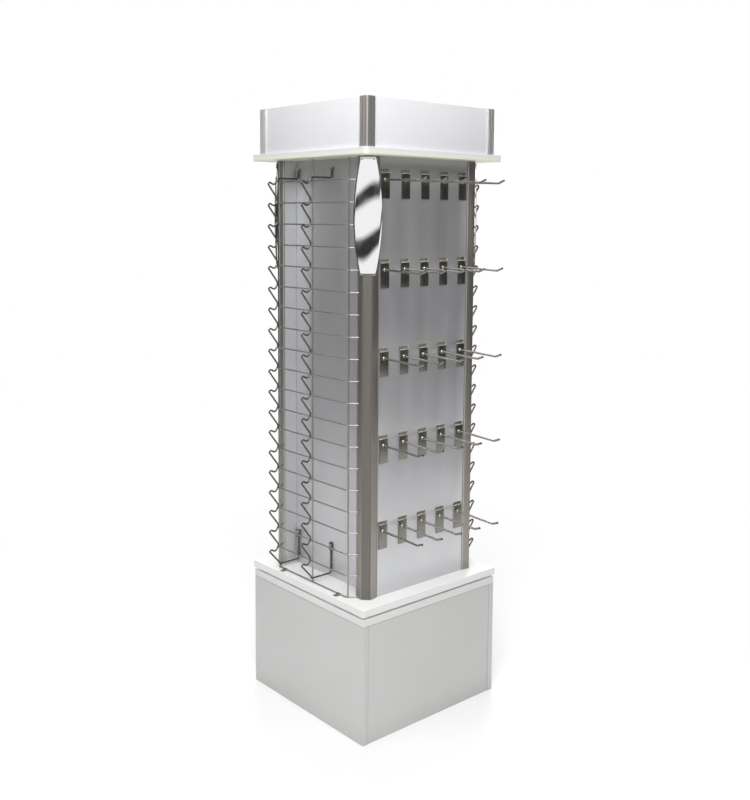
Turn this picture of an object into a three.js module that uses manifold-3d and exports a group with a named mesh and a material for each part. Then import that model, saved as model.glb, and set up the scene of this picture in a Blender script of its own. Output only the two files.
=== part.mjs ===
// Rotating eyeglass display: a square storage cabinet carries a turntable, and on the turntable
// stands a four-sided tower with two welded wire racks, a slotted hook panel, a plain panel,
// four polished corner mirrors and a header sign box.
// Units are millimetres, +Z is up, the origin is on the floor on the turntable axis. The first
// rack faces -Y and the hook panel faces +X.
import * as THREE from 'three';
import { mergeVertices } from 'three/addons/utils/BufferGeometryUtils.js';
import Module from 'manifold-3d';

// ---------------------------------------------------------------- driving dimensions
const GAP = 0.3;                 // running clearance left between neighbouring pieces

// cabinet
const CABINET_WIDTH = 495;       // outside width and depth
const BOARD = 18;                // side panel thickness
const SIDE_TOP = 321;            // height of the side panels
const TOP_BOARD = 20;            // cabinet top board thickness
const BOTTOM_BOARD = 16;         // cabinet bottom board thickness
const LEFT_RIGHT_RECESS = 1;     // the +X and -X panels sit this far inside the corner

// turntable, in the shadow gap between cabinet and slab
const TURNTABLE_GAP = 6.5;
const BEARING_RADIUS = 160;
const BEARING_BORE = 105;        // radius of the open middle of the bearing

// slab and canopy
const SLAB_WIDTH = 500;
const SLAB = 20;
const CANOPY_WIDTH = 500;
const CANOPY = 18;
const CANOPY_RADIUS = 14;

// tower
const TOWER_HEIGHT = 1164.5;     // slab top to canopy underside
const TOWER_HALF = 205;          // column outside faces
const COLUMN_LEG = 45;
const COLUMN_EDGE = 200;         // the face falls back to this at its inner edge
const COLUMN_FACET = 188;        // the flat across the corner runs from here to the face
const COLUMN_WALL = 3;
const PANEL = 8;
const HOOK_PANEL_FACE = 200;     // outer face of the +X and -X panels
const RACK_PANEL_FACE = 160;     // outer face of the -Y and +Y panels

// corner mirrors
const MIRROR_HEIGHT = 300;
const MIRROR_END_WIDTH = 40;
const MIRROR_MID_WIDTH = 74;
const MIRROR = 2;
const MIRROR_TOP_GAP = 3;

// header box
const HEADER_HALF = 235;
const HEADER_HEIGHT = 126;
const POST_LEG = 28;
const POST_RADIUS = 10;
const HEADER_PANEL = 4;
const HEADER_PANEL_INSET = 4;    // panel face behind the post face

// wire racks
const RACK_PLANE = 227;          // centre plane of the horizontal wires
const RACK_ROWS = 20;
const RACK_PITCH = 58;
const RACK_FIRST = 370;          // height of the lowest horizontal wire
const RACK_HALF = 150;           // where the horizontal wires turn back to the columns
const RACK_END = 171;            // where they meet the column faces
const END_UPRIGHTS = [-154, 154];  // welded to the rows
const MIDDLE_UPRIGHT = 0;          // welded to the tooth wire beside it
const TOOTH_WIRES = [-147.5, 4.7]; // the second is a weld's depth inside the middle upright
const WIRE = 4;
const UPRIGHT_WIRE = 5;
const UPRIGHT_TOP = 1529;
const TOOTH_TIP = 264;           // how far out the teeth reach
const CLIP_LOW = 455;            // where the tooth wires are screwed to the panel
const CLIP_HIGH = 1511;

// hooks
const HOOK_COLUMNS = [-142, -71, 0, 71, 142];
const HOOK_TOP_ROW = 1500;       // top edge of the slots in the top row
const HOOK_PITCH = 232;
const HOOK_ROWS = 5;
const SLOT_WIDTH = 34;
const SLOT_HEIGHT = 10.5;
const HOOK_PLATE_WIDTH = 29;
const HOOK_PLATE_HEIGHT = 67;
const HOOK_FOLD_DROP = 8;        // fold of the plate below the slot's top edge
const HOOK_PLATE = 2.5;
const PEG = 5;
const PEG_DROP = 27;             // peg root below the slot's top edge
const PEG_REACH = 133;           // plate to the bend
const PEG_SAG = 5;
const PEG_TIP = 18;
const PEG_TIP_RISE = 7;

// ---------------------------------------------------------------- derived heights
const CABINET_HALF = CABINET_WIDTH / 2;
const CABINET_TOP = SIDE_TOP + TOP_BOARD;
const SLAB_BOTTOM = CABINET_TOP + TURNTABLE_GAP;
const SLAB_TOP = SLAB_BOTTOM + SLAB;
const TOWER_FOOT = SLAB_TOP + GAP;
const CANOPY_BOTTOM = SLAB_TOP + TOWER_HEIGHT;
const CANOPY_TOP = CANOPY_BOTTOM + CANOPY;

// ---------------------------------------------------------------- solids
const wasm = await Module();
wasm.setup();
const { Manifold, Mesh: SolidMesh } = wasm;

function solid(geometry) {
  const bare = new THREE.BufferGeometry();
  bare.setAttribute('position', geometry.getAttribute('position'));
  if (geometry.index) bare.setIndex(geometry.index);
  const merged = mergeVertices(bare, 1e-4);
  return new Manifold(new SolidMesh({
    numProp: 3,
    vertProperties: new Float32Array(merged.getAttribute('position').array),
    triVerts: new Uint32Array(merged.index.array),
  }));
}

function geometryOf(body) {
  const mesh = body.getMesh();
  const geometry = new THREE.BufferGeometry();
  geometry.setAttribute('position', new THREE.BufferAttribute(mesh.vertProperties, 3));
  geometry.setIndex(new THREE.BufferAttribute(mesh.triVerts, 1));
  const flat = geometry.toNonIndexed();
  flat.computeVertexNormals();
  return flat;
}

const box = (x0, x1, y0, y1, z0, z1) =>
  solid(new THREE.BoxGeometry(x1 - x0, y1 - y0, z1 - z0))
    .translate([(x0 + x1) / 2, (y0 + y1) / 2, (z0 + z1) / 2]);

function prism(points, height) {
  const shape = new THREE.Shape(points.map(([x, y]) => new THREE.Vector2(x, y)));
  return solid(new THREE.ExtrudeGeometry(shape, { depth: height, bevelEnabled: false }));
}

// a bar of rectangular section along a flat polyline (u, v), mitred at the bends and `width`
// wide in its own plane; `depth` is its size across that plane, which lies in the middle of it
function bentBar(points, width, depth) {
  const path = points.map(([u, v]) => new THREE.Vector2(u, v));
  const edge = (side) => path.map((p, i) => {
    const before = i ? p.clone().sub(path[i - 1]).normalize() : null;
    const after = i < path.length - 1 ? path[i + 1].clone().sub(p).normalize() : null;
    const along = (before && after) ? before.clone().add(after).normalize() : (before || after);
    const mitre = (before && after) ? 1 / Math.max(0.4, along.dot(before)) : 1;
    return p.clone().addScaledVector(new THREE.Vector2(-along.y, along.x), side * width * mitre / 2);
  });
  const outline = new THREE.Shape([...edge(-1), ...edge(1).reverse()]);
  return solid(new THREE.ExtrudeGeometry(outline, { depth, bevelEnabled: false }))
    .translate([0, 0, -depth / 2]);
}

function ring(radius, bore, z0, z1) {
  const outline = [[bore, z0], [radius, z0], [radius, z1], [bore, z1], [bore, z0]];
  return solid(new THREE.LatheGeometry(outline.map(([r, z]) => new THREE.Vector2(r, z)), 48))
    .rotate([90, 0, 0]);
}

// the same bar in the plane at right angles to X: (u, v) become (y, z)
const uprightBar = (points, width) => bentBar(points, width, width).rotate([90, 0, 90]);

// quarter-round corner outline: legs along -x and -y from the outer corner at (half, half)
function cornerOutline(half, leg, radius, steps) {
  const inner = half - leg;
  const points = [[inner, inner], [half, inner]];
  for (let i = 0; i <= steps; i += 1) {
    const t = (Math.PI / 2) * (i / steps);
    points.push([half - radius + radius * Math.cos(t), half - radius + radius * Math.sin(t)]);
  }
  points.push([inner, half]);
  return points;
}

function roundedSquare(width, radius, height) {
  const h = width / 2;
  const shape = new THREE.Shape();
  shape.moveTo(-h + radius, -h);
  shape.lineTo(h - radius, -h);
  shape.absarc(h - radius, -h + radius, radius, -Math.PI / 2, 0, false);
  shape.lineTo(h, h - radius);
  shape.absarc(h - radius, h - radius, radius, 0, Math.PI / 2, false);
  shape.lineTo(-h + radius, h);
  shape.absarc(-h + radius, h - radius, radius, Math.PI / 2, Math.PI, false);
  shape.lineTo(-h, -h + radius);
  shape.absarc(-h + radius, -h + radius, radius, Math.PI, 1.5 * Math.PI, false);
  return solid(new THREE.ExtrudeGeometry(shape, {
    depth: height, bevelEnabled: false, curveSegments: 4,
  }));
}

// ---------------------------------------------------------------- materials
const look = (color, metalness, roughness) =>
  () => new THREE.MeshStandardMaterial({ color, metalness, roughness });
const lacquer = look(0xd2d1cc, 0.0, 0.45);
const whiteBoard = look(0xf2f2ee, 0.0, 0.4);
const pearlPanel = look(0xb4b6ba, 0.3, 0.35);
const aluminium = look(0x8a847c, 0.9, 0.4);
const brightAluminium = look(0xb9b8b4, 0.9, 0.35);
const mirrorSteel = look(0xe6e6e8, 1.0, 0.05);
const acrylic = look(0xf1f0f5, 0.0, 0.25);
const chrome = look(0xa9a7a2, 1.0, 0.2);
const zincPlate = look(0x9fa3a6, 0.9, 0.5);

// ---------------------------------------------------------------- assembly
const part = new THREE.Group();
part.name = 'eyeglass_display_rack';
const cabinet = new THREE.Group();
cabinet.name = 'cabinet_group';
const tower = new THREE.Group();
tower.name = 'tower_group';
part.add(cabinet, tower);

function add(group, name, body, material, place) {
  const mesh = new THREE.Mesh(geometryOf(body), material());
  mesh.name = name;
  if (place) place(mesh);
  group.add(mesh);
}

// the four sides, by turns about the axis; side 0 faces -Y, side 1 faces +X
const SIDES = [['front', 0], ['right', 1], ['back', 2], ['left', 3]];
const turned = (quarter) => (mesh) => { mesh.rotation.z = quarter * Math.PI / 2; };

// cabinet boards: front and back run the full width, left and right stand between them
const H = CABINET_HALF;
const innerX = H - LEFT_RIGHT_RECESS - BOARD - GAP;
const innerY = H - BOARD - GAP;
add(cabinet, 'cabinet_bottom_board', box(-innerX, innerX, -innerY, innerY, 0, BOTTOM_BOARD), lacquer);
for (const [side, quarter] of SIDES) {
  const wide = quarter % 2 === 0;
  const half = wide ? H : H - BOARD - GAP;
  const face = wide ? H : H - LEFT_RIGHT_RECESS;
  add(cabinet, `cabinet_panel_${side}`,
    box(-half, half, -face, -face + BOARD, 0, SIDE_TOP - GAP), lacquer, turned(quarter));
}
add(cabinet, 'cabinet_top_board', box(-H, H, -H, H, SIDE_TOP, CABINET_TOP), lacquer);

// turntable bearing: a flat ring that carries the slab
add(cabinet, 'turntable_bearing',
  ring(BEARING_RADIUS, BEARING_BORE, CABINET_TOP + GAP, SLAB_BOTTOM - GAP), zincPlate);

// slab and canopy
add(tower, 'plinth_slab', roundedSquare(SLAB_WIDTH, 2, SLAB)
  .translate([0, 0, SLAB_BOTTOM]), whiteBoard);
add(tower, 'canopy_board', roundedSquare(CANOPY_WIDTH, CANOPY_RADIUS, CANOPY)
  .translate([0, 0, CANOPY_BOTTOM]), whiteBoard);

// corner columns: hollow aluminium sections, slightly crowned, flat across the corner
const columnLength = CANOPY_BOTTOM - GAP - TOWER_FOOT;
function columnOutline(wall) {
  const inner = TOWER_HALF - COLUMN_LEG + wall;
  const leg = [[COLUMN_EDGE, inner], [203.6, 171], [TOWER_HALF, 181], [TOWER_HALF, COLUMN_FACET]]
    .map(([face, along]) => [face - wall, Math.max(inner, along - wall * 0.42)]);
  return [[inner, inner], ...leg, ...leg.map(([x, y]) => [y, x]).reverse()];
}
const columnBody = prism(columnOutline(0), columnLength)
  .subtract(prism(columnOutline(COLUMN_WALL), columnLength + 2).translate([0, 0, -1]));
const CORNERS = [['front_right', -1], ['back_right', 0], ['back_left', 1], ['front_left', 2]];
for (const [corner, quarter] of CORNERS) {
  add(tower, `corner_column_${corner}`, columnBody.translate([0, 0, TOWER_FOOT]), aluminium,
    turned(quarter));
}

// tower panels
const panelTop = CANOPY_BOTTOM - GAP;
const rackPanelHalf = HOOK_PANEL_FACE - PANEL - GAP;
const rackPanel = box(-rackPanelHalf, rackPanelHalf, -RACK_PANEL_FACE + GAP,
  -RACK_PANEL_FACE + GAP + PANEL, TOWER_FOOT, panelTop);
const hookPanelHalf = TOWER_HALF - COLUMN_LEG - GAP;
const plainPanel = box(-hookPanelHalf, hookPanelHalf, -HOOK_PANEL_FACE,
  -HOOK_PANEL_FACE + PANEL, TOWER_FOOT, panelTop);
const hookHeights = Array.from({ length: HOOK_ROWS }, (_, i) => HOOK_TOP_ROW - HOOK_PITCH * i);
const slots = hookHeights.flatMap((z) => HOOK_COLUMNS.map((x) =>
  box(x - SLOT_WIDTH / 2, x + SLOT_WIDTH / 2, -HOOK_PANEL_FACE - 1,
    -HOOK_PANEL_FACE + PANEL + 1, z - SLOT_HEIGHT, z)));
add(tower, 'rack_panel_front', rackPanel, pearlPanel);
add(tower, 'rack_panel_back', rackPanel, pearlPanel, turned(2));
add(tower, 'hook_panel', plainPanel.subtract(Manifold.union(slots)), pearlPanel, turned(1));
add(tower, 'plain_panel', plainPanel, pearlPanel, turned(3));

// barrel-shaped corner mirrors, on the flat across each column corner
function mirrorPlate() {
  const bulge = (t) => MIRROR_END_WIDTH / 2
    + (MIRROR_MID_WIDTH - MIRROR_END_WIDTH) / 2 * Math.sin(Math.PI * t) ** 0.9;
  const edge = [];
  for (let i = 0; i <= 12; i += 1) edge.push([bulge(i / 12), MIRROR_HEIGHT * (i / 12)]);
  const back = edge.map(([x, z]) => [-x, z]).reverse();
  return prism([...edge, ...back], MIRROR).rotate([90, 0, 0]);
}
const mirrorSeat = (TOWER_HALF + COLUMN_FACET) / Math.SQRT2 + GAP;
for (const [corner, quarter] of CORNERS) {
  add(tower, `corner_mirror_${corner}`,
    mirrorPlate().translate([0, -mirrorSeat, panelTop - MIRROR_TOP_GAP - MIRROR_HEIGHT]),
    mirrorSteel, (mesh) => { mesh.rotation.z = Math.PI / 4 + (quarter + 1) * Math.PI / 2; });
}

// header sign box
const postBody = prism(cornerOutline(HEADER_HALF, POST_LEG, POST_RADIUS, 3), HEADER_HEIGHT - GAP);
const headerPanelHalf = HEADER_HALF - POST_LEG - GAP;
const headerFace = HEADER_HALF - HEADER_PANEL_INSET;
for (const [corner, quarter] of CORNERS) {
  add(tower, `header_post_${corner}`, postBody.translate([0, 0, CANOPY_TOP + GAP]),
    brightAluminium, turned(quarter));
}
for (const [side, quarter] of SIDES) {
  add(tower, `header_panel_${side}`,
    box(-headerPanelHalf, headerPanelHalf, -headerFace, -headerFace + HEADER_PANEL,
      CANOPY_TOP + GAP, CANOPY_TOP + HEADER_HEIGHT), acrylic, turned(quarter));
}

// wire racks: rows welded to their end uprights, and two zigzag wires whose teeth carry the
// nose bridges; the middle upright belongs to the second of them
const rackRows = Array.from({ length: RACK_ROWS }, (_, i) => RACK_FIRST + RACK_PITCH * i);

function rackGrid() {
  const end = -TOWER_HALF - GAP;
  const row = bentBar([[-RACK_END, end], [-RACK_HALF, -RACK_PLANE],
    [RACK_HALF, -RACK_PLANE], [RACK_END, end]], WIRE, WIRE);
  const wires = rackRows.map((z) => row.translate([0, 0, z]));
  return Manifold.union([...wires, ...END_UPRIGHTS.map((x) => upright(x, -1))]);
}

// an upright behind the rows, `clearance` away from them; negative where it is welded to them
function upright(x, clearance) {
  const w = UPRIGHT_WIRE / 2;
  const front = -RACK_PLANE + WIRE / 2 + clearance;
  return box(x - w, x + w, front, front + UPRIGHT_WIRE, RACK_FIRST - WIRE / 2, UPRIGHT_TOP);
}

// the tooth wire runs from the lower screw down to the lowest row, out through the grid, then
// tooth by tooth: up and out to the tip, over it, down into the saddle and back to the grid
function rackZigzag(x) {
  const grid = -RACK_PLANE - (WIRE + UPRIGHT_WIRE) / 2 - GAP;
  const back = -RACK_PANEL_FACE - UPRIGHT_WIRE / 2;
  const first = RACK_FIRST + 10;
  const last = rackRows[RACK_ROWS - 1] + 10;
  const path = [[back, CLIP_LOW], [back, first], [grid, first]];
  for (const z of rackRows.slice(1)) {
    path.push([-TOOTH_TIP, z - 6], [-TOOTH_TIP + 7, z - 2], [grid - 8, z - 6], [grid, z + 3]);
  }
  path.push([grid, last], [back, last], [back, CLIP_HIGH]);
  const teeth = uprightBar(path, UPRIGHT_WIRE).translate([x, 0, 0]);
  const beside = Math.abs(x - MIDDLE_UPRIGHT) < UPRIGHT_WIRE;
  return beside ? teeth.add(upright(MIDDLE_UPRIGHT, GAP)) : teeth;
}
const grid = rackGrid();
for (const [side, quarter] of [['front', 0], ['back', 2]]) {
  add(tower, `rack_grid_${side}`, grid, chrome, turned(quarter));
  TOOTH_WIRES.forEach((x, i) => {
    add(tower, `rack_zigzag_${side}_${i + 1}`, rackZigzag(x), chrome, turned(quarter));
  });
}

// display hooks: plate with a tongue through the slot, and a peg with a raised tip
function hook() {
  const face = -HOOK_PANEL_FACE - GAP;
  const w = HOOK_PLATE_WIDTH / 2;
  const fold = -HOOK_FOLD_DROP;
  const plate = box(-w, w, face - HOOK_PLATE, face, fold - HOOK_PLATE_HEIGHT, fold);
  const tongue = box(-w, w, face - HOOK_PLATE, face + PANEL - 1, fold - 2.2, fold);
  const root = face - 1;
  const bend = face - HOOK_PLATE - PEG_REACH;
  const peg = uprightBar([[root, -PEG_DROP], [bend, -PEG_DROP - PEG_SAG],
    [bend - PEG_TIP, -PEG_DROP - PEG_SAG + PEG_TIP_RISE]], PEG);
  return Manifold.union([plate, tongue, peg]);
}
const hookBody = hook();
hookHeights.forEach((z, row) => {
  HOOK_COLUMNS.forEach((x, column) => {
    add(tower, `hook_${row + 1}_${column + 1}`, hookBody.translate([x, 0, z]), chrome, turned(1));
  });
});

export default part;
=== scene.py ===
# %% [markdown]
# # A rotating eyeglass display
#
# The object is a shop stand. A lacquered cabinet stands on the floor, a flat bearing on it
# carries a white slab, and on the slab stands a four-sided tower: two faces with welded wire
# racks for glasses, one face with slots and hooks, one plain face, an aluminium section at
# every corner with a polished mirror on it, a canopy board, and a header box for a sign.
#
# The frame holds every size and place. This script only gives the frame its finished looks:
# eased edges, round wires, folded hook plates, grooved sections, and a surface for each metal,
# board and plastic. Every position below is worked out from the frame's own boxes.

# %% Load the frame
import math

import bmesh
import bpy
from mathutils import Matrix, Vector


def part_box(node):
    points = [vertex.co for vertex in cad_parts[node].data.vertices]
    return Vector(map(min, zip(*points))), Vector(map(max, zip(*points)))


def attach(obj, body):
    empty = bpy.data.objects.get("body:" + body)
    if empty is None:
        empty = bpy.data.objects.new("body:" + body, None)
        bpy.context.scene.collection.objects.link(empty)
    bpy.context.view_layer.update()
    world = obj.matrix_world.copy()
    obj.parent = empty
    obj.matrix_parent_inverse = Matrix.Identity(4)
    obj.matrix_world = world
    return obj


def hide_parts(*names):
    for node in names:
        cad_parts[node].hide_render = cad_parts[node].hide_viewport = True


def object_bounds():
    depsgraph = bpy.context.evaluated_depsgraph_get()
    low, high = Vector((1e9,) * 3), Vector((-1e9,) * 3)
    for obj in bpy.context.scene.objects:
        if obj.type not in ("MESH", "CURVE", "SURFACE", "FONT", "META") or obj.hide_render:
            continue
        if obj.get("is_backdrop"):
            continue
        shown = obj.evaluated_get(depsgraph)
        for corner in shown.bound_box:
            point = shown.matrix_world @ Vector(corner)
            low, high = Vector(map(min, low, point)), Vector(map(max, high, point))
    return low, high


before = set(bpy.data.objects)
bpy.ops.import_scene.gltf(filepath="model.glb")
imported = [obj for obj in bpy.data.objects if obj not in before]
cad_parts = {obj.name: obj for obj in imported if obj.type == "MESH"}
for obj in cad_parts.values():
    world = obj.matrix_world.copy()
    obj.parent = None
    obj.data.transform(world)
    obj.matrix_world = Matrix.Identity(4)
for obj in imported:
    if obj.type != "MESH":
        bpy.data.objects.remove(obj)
cad_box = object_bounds()

# %% [markdown]
# Lengths are easiest to think of in millimetres, as a workshop drawing gives them, while
# Blender's unit here is the metre. `mm` turns one into the other. The four sides of the stand
# are quarter turns of each other, so one turn about the vertical axis places every repeat.
# `HAIR` is a length too small to see, and points closer than that are merged.

# %% Units, sides and corners
mm = 0.001
SIDES = ("front", "right", "back", "left")
RACK_SIDES = {"front": 0, "back": 2}
CORNERS = {"front_right": 0, "back_right": 1, "back_left": 2, "front_left": 3}
HAIR = 0.01 * mm


def quarter_turn(count):
    return Matrix.Rotation(count * math.pi / 2, 4, "Z")


front_rack_low, front_rack_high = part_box("rack_grid_front")
slab_low, slab_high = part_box("plinth_slab")
canopy_low, canopy_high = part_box("canopy_board")
print("slab top", round(slab_high.z, 4), "canopy underside", round(canopy_low.z, 4))

# %% [markdown]
# ## How a piece is finished
#
# Each new piece is drawn in a bmesh, Blender's editable mesh. When it is done its faces are
# turned outwards, its flat faces are kept crisp and its round ones smooth, and it is tied to
# the body that it moves with. Doing this in one helper keeps every piece alike.

# %% Make a finished piece out of a bmesh
def finish_piece(name, bm, materials, stands_for=(), body="tower", crease=32):
    bmesh.ops.recalc_face_normals(bm, faces=bm.faces)
    mesh = bpy.data.meshes.new(name)
    bm.to_mesh(mesh)
    bm.free()
    for material in materials:
        mesh.materials.append(material)
    mesh.shade_smooth()
    mesh.set_sharp_from_angle(angle=math.radians(crease))
    piece = bpy.data.objects.new(name, mesh)
    bpy.context.scene.collection.objects.link(piece)
    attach(piece, body)
    if stands_for:
        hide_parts(*stands_for)


# %% [markdown]
# Some pieces have a second finish on part of their faces. `give_finish` takes a rule that says
# yes or no to one face, and puts the next material in the list on the faces it says yes to.

# %% Choose faces for a second finish
def give_finish(bm, rule, index=1):
    bm.normal_update()
    for face in bm.faces:
        if rule(face):
            face.material_index = index


# %% [markdown]
# A frame node is loose triangles. To ease its edges a copy is merged first, and triangles that
# lie in one plane are joined again, so that the bevel meets the real edges of the board and
# nothing else. The bevel is what catches a thin line of light along every real edge. A Bevel
# modifier on the node would do too, but the merged copy shades cleaner.

# %% Copy a frame node and ease its edges
def merged_copy(node):
    bm = bmesh.new()
    bm.from_mesh(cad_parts[node].data)
    bmesh.ops.remove_doubles(bm, verts=bm.verts, dist=HAIR)
    flat = math.radians(1)
    bmesh.ops.dissolve_limit(bm, angle_limit=flat, verts=bm.verts, edges=bm.edges)
    return bm


def round_off(bm, edges, radius, segments):
    bmesh.ops.bevel(bm, geom=edges, offset=radius, offset_type="OFFSET", segments=segments,
                    profile=0.5, affect="EDGES", material=-1, clamp_overlap=True)


def ease_edges(bm, radius, segments=3, sharper_than=40):
    bmesh.ops.recalc_face_normals(bm, faces=bm.faces)
    limit = math.radians(sharper_than)
    round_off(bm, [e for e in bm.edges if e.calc_face_angle(0) > limit], radius, segments)
    return bm


# %% [markdown]
# Wire is bent, never mitred, so its path needs round corners. `bent_path` swaps each corner
# for an arc that touches both straight runs, and lets no arc take more than its share of a run.
# Blender's own curve then sweeps a round section along the path, and the result is kept as a
# mesh.

# %% Bend a wire
BEND_SHARE = 0.45


def bent_path(points, radius, steps=5):
    points = [Vector(p) for p in points]
    path = [points[0]]
    for before, corner, after in zip(points, points[1:], points[2:]):
        into = (before - corner).normalized()
        out = (after - corner).normalized()
        half = into.angle(out) / 2
        room = BEND_SHARE * min((before - corner).length, (after - corner).length)
        back = min(radius / math.tan(half), room)
        start, end = corner + into * back, corner + out * back
        for i in range(steps + 1):
            t = i / steps
            path.append(start * (1 - t) ** 2 + corner * 2 * t * (1 - t) + end * t ** 2)
    return path + [points[-1]]


def round_wires(paths, diameter, sides=3):
    curve = bpy.data.curves.new("wire", "CURVE")
    curve.dimensions = "3D"
    curve.bevel_depth = diameter / 2
    curve.bevel_resolution = sides
    curve.use_fill_caps = True
    for path in paths:
        spline = curve.splines.new("POLY")
        spline.points.add(len(path) - 1)
        for point, place in zip(spline.points, path):
            point.co = (*place, 1)
    holder = bpy.data.objects.new("wire", curve)
    swept = bpy.data.meshes.new_from_object(holder)
    bm = bmesh.new()
    bm.from_mesh(swept)
    bmesh.ops.remove_doubles(bm, verts=bm.verts, dist=HAIR)
    bpy.data.objects.remove(holder)
    bpy.data.curves.remove(curve)
    bpy.data.meshes.remove(swept)
    return bm


# %% [markdown]
# Columns, posts, clips and folded plates all have one section along their whole length. The
# section is drawn as a ring of points, one face is made from it, and `extrude_face_region`
# pushes that face along. A thin sheet gets its thickness in the same way.

# %% Push a section along its length
def thicken(bm, way):
    grown = bmesh.ops.extrude_face_region(bm, geom=bm.faces[:])
    moved = [v for v in grown["geom"] if isinstance(v, bmesh.types.BMVert)]
    bmesh.ops.translate(bm, vec=way, verts=moved)
    return bm


def extruded_section(ring, way):
    bm = bmesh.new()
    bm.faces.new([bm.verts.new(point) for point in ring])
    return thicken(bm, way)


def upright_section(outline, bottom, top):
    return extruded_section([(x, y, bottom) for x, y in outline], (0, 0, top - bottom))


# %% [markdown]
# Screws and welds are small turned shapes. Half of the section is drawn beside the axis and
# spun once round it. `add_to` copies such a small mesh into a larger one at its place. The
# cross of a screw is two thin bars set in its head, and each is a plain block.

# %% Turn a small part and place copies of it
def turned_part(profile, steps=20):
    bm = bmesh.new()
    points = [bm.verts.new((r, 0, z)) for r, z in profile]
    for a, b in zip(points, points[1:]):
        bm.edges.new((a, b))
    bmesh.ops.spin(bm, geom=bm.verts[:] + bm.edges[:], cent=(0, 0, 0), axis=(0, 0, 1),
                   angle=2 * math.pi, steps=steps, use_merge=True)
    bmesh.ops.remove_doubles(bm, verts=bm.verts, dist=HAIR / 2)
    bmesh.ops.recalc_face_normals(bm, faces=bm.faces)
    return bm


def at(x, y, z):
    return Matrix.Translation((x, y, z))


def add_to(target, part, place=Matrix(), keep=False):
    mesh = bpy.data.meshes.new("copy")
    part.to_mesh(mesh)
    mesh.transform(place)
    target.from_mesh(mesh)
    bpy.data.meshes.remove(mesh)
    if not keep:
        part.free()
    return target


def block(*size):
    bm = bmesh.new()
    bmesh.ops.create_cube(bm, size=1)
    bmesh.ops.scale(bm, vec=size, verts=bm.verts)
    return bm


def cross_head_screw(radius, height):
    profile = [(0, height), (radius * 0.55, height * 0.92), (radius * 0.88, height * 0.62),
               (radius, height * 0.2), (radius, 0), (0, 0)]
    screw = turned_part(profile, steps=24)
    for count in (0, 1):
        bar = block(radius, radius * 0.18, height * 0.35)
        add_to(screw, bar, quarter_turn(count) @ at(0, 0, height * 0.86))
    return screw


# %% [markdown]
# ## Surfaces
#
# Every surface is built from noise in object coordinates, so a pattern stays put on its piece
# whichever way the stand is turned. A finish has three layers: a colour that drifts a little,
# a roughness that is uneven where hands and cloths have been, and a fine relief. `add_node`
# makes one node, joins other nodes to its inputs by name and sets the rest of its inputs, and
# the helpers after it are the few patterns that all the finishes share.

# %% Small helpers for node materials
def start_material(name, color, metallic=0.0, roughness=0.4):
    material = bpy.data.materials.new(name)
    material.use_nodes = True
    shader = material.node_tree.nodes["Principled BSDF"]
    shader.inputs["Base Color"].default_value = (*color, 1)
    shader.inputs["Metallic"].default_value = metallic
    shader.inputs["Roughness"].default_value = roughness
    return material, material.node_tree, shader


def add_node(tree, kind, link=None, **values):
    node = tree.nodes.new(f"ShaderNode{kind}")
    for name, value in values.items():
        node.inputs[name.replace("_", " ")].default_value = value
    for name, socket in (link or {}).items():
        tree.links.new(socket, node.inputs[name])
    return node


def object_place(tree):
    return tree.nodes.new("ShaderNodeTexCoord").outputs["Object"]


def object_height(tree):
    return add_node(tree, "SeparateXYZ", {"Vector": object_place(tree)}).outputs["Z"]


def object_noise(tree, scale, stretch=(1, 1, 1), detail=3.0, rough=0.5):
    place = add_node(tree, "Mapping", {"Vector": object_place(tree)}, Scale=stretch)
    noise = add_node(tree, "TexNoise", {"Vector": place.outputs["Vector"]},
                     Scale=scale, Detail=detail, Roughness=rough)
    return noise.outputs["Fac"]


def ramp(tree, value, stops):
    node = tree.nodes.new("ShaderNodeValToRGB")
    elements = node.color_ramp.elements
    while len(elements) < len(stops):
        elements.new(0.5)
    for element, (position, color) in zip(elements, stops):
        element.position = position
        element.color = (*color, 1)
    tree.links.new(value, node.inputs["Fac"])
    return node.outputs["Color"]


def to_range(tree, value, low, high, start=0.3, end=0.7):
    node = add_node(tree, "MapRange", {"Value": value},
                    From_Min=start, From_Max=end, To_Min=low, To_Max=high)
    return node.outputs["Result"]


def maths(tree, operation, *values):
    node = tree.nodes.new("ShaderNodeMath")
    node.operation = operation
    for socket, value in zip(node.inputs, values):
        if isinstance(value, float):
            socket.default_value = value
        else:
            tree.links.new(value, socket)
    return node.outputs["Value"]


def mix_colours(tree, first, second, factor=None, blend="MIX"):
    node = tree.nodes.new("ShaderNodeMix")
    node.data_type = "RGBA"
    node.blend_type = blend
    node.inputs["Factor"].default_value = 1.0
    if factor:
        tree.links.new(factor, node.inputs["Factor"])
    tree.links.new(first, node.inputs["A"])
    tree.links.new(second, node.inputs["B"])
    return node.outputs["Result"]


def multiply(tree, first, second):
    return mix_colours(tree, first, second, blend="MULTIPLY")


def relief(tree, shader, value, depth, strength):
    node = add_node(tree, "Bump", {"Height": value}, Distance=depth, Strength=strength)
    tree.links.new(node.outputs["Normal"], shader.inputs["Normal"])


def coat(tree, shader, colour, gloss, low, high):
    tree.links.new(colour, shader.inputs["Base Color"])
    tree.links.new(to_range(tree, gloss, low, high), shader.inputs["Roughness"])


def clear_coat(shader, weight, roughness):
    shader.inputs["Coat Weight"].default_value = weight
    shader.inputs["Coat Roughness"].default_value = roughness


def shade(base, factor):
    return tuple(channel * factor for channel in base)


def tones(tree, value, base, dark, light):
    return ramp(tree, value, [(0.3, shade(base, dark)), (0.7, shade(base, light))])


# %% [markdown]
# The cabinet is sprayed in a satin light grey. Sprayed lacquer has a faint orange peel, a few
# millimetres across, and its gloss drifts slowly over a board. Low down, shoes and mops leave
# the coat a little greyer, which a ramp on the height gives, and noise makes the rim of that
# ramp uneven. The top board has a paler coat. The joints between the boards get a dark
# lacquer, which is painted shade standing in for the shadow in the fine gaps.

# %% Satin lacquer of the cabinet
SCUFF_HEIGHT = 0.06


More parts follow.
